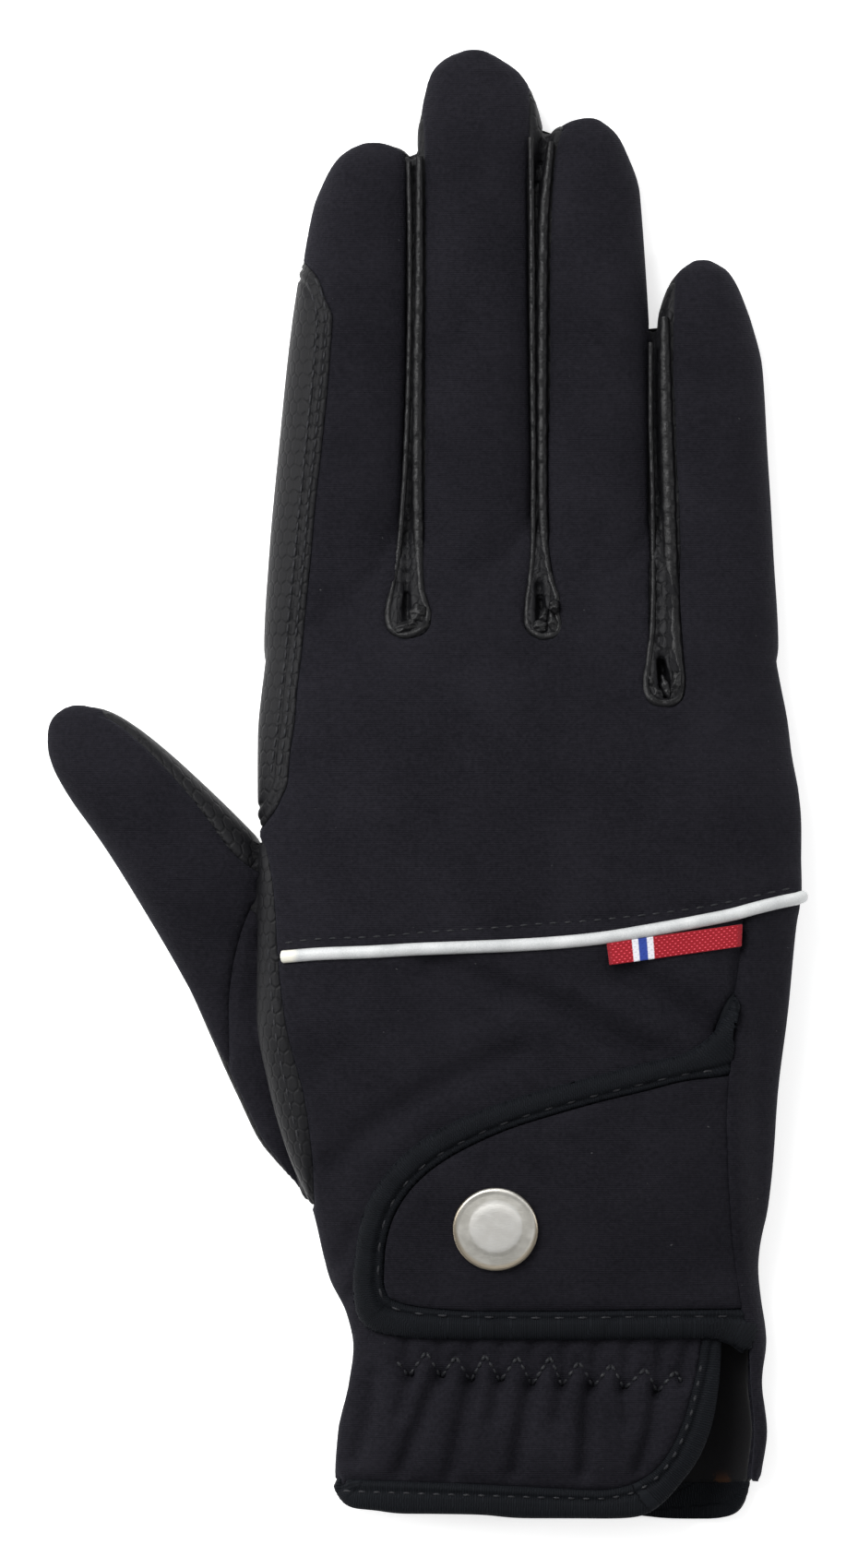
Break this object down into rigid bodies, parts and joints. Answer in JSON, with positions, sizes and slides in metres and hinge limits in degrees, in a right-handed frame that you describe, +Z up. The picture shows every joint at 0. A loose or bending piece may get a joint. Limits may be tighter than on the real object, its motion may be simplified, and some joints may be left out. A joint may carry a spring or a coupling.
{
  "type": "horse riding glove",
  "caption": "Right-hand riding glove lying palm down, with leather palm, stretch back, gathered wrist and a flap closed by a snap.",
  "frame": {"origin": "on the surface the glove rests on, under the middle of its bounding box", "axes": "+Y from the wrist hem to the fingertips, +X towards the little finger's side, +Z up out of the back of the hand"},
  "size_m": [0.1312, 0.2552, 0.0242],
  "materials": {
    "cloth": "fine black knit, matte",
    "leather": "black synthetic leather with a small hexagonal grip grain, satin",
    "elastic": "black ribbed elastic binding, matte",
    "reflective": "silver grey reflective tape, soft sheen",
    "red_weave": "red woven tape with a white and blue stripe, matte",
    "nickel": "pale brushed nickel"
  },
  "bodies": {
    "root": {"back_upper": "cloth", "back_lower": "cloth", "side_panel": "cloth", "palm": "leather", "fourchette_index_middle": "leather", "fourchette_middle_ring": "leather", "fourchette_ring_little": "leather", "index_patch": "leather", "thumb_trim": "leather", "thumb_back": "cloth", "thumb_gusset": "cloth", "thumb_palm": "leather", "cuff_binding": "elastic", "closure_flap": "cloth", "flap_binding": "elastic", "snap_button": "nickel", "piping": "reflective", "woven_tab": "red_weave"}
  },
  "joints": []
}
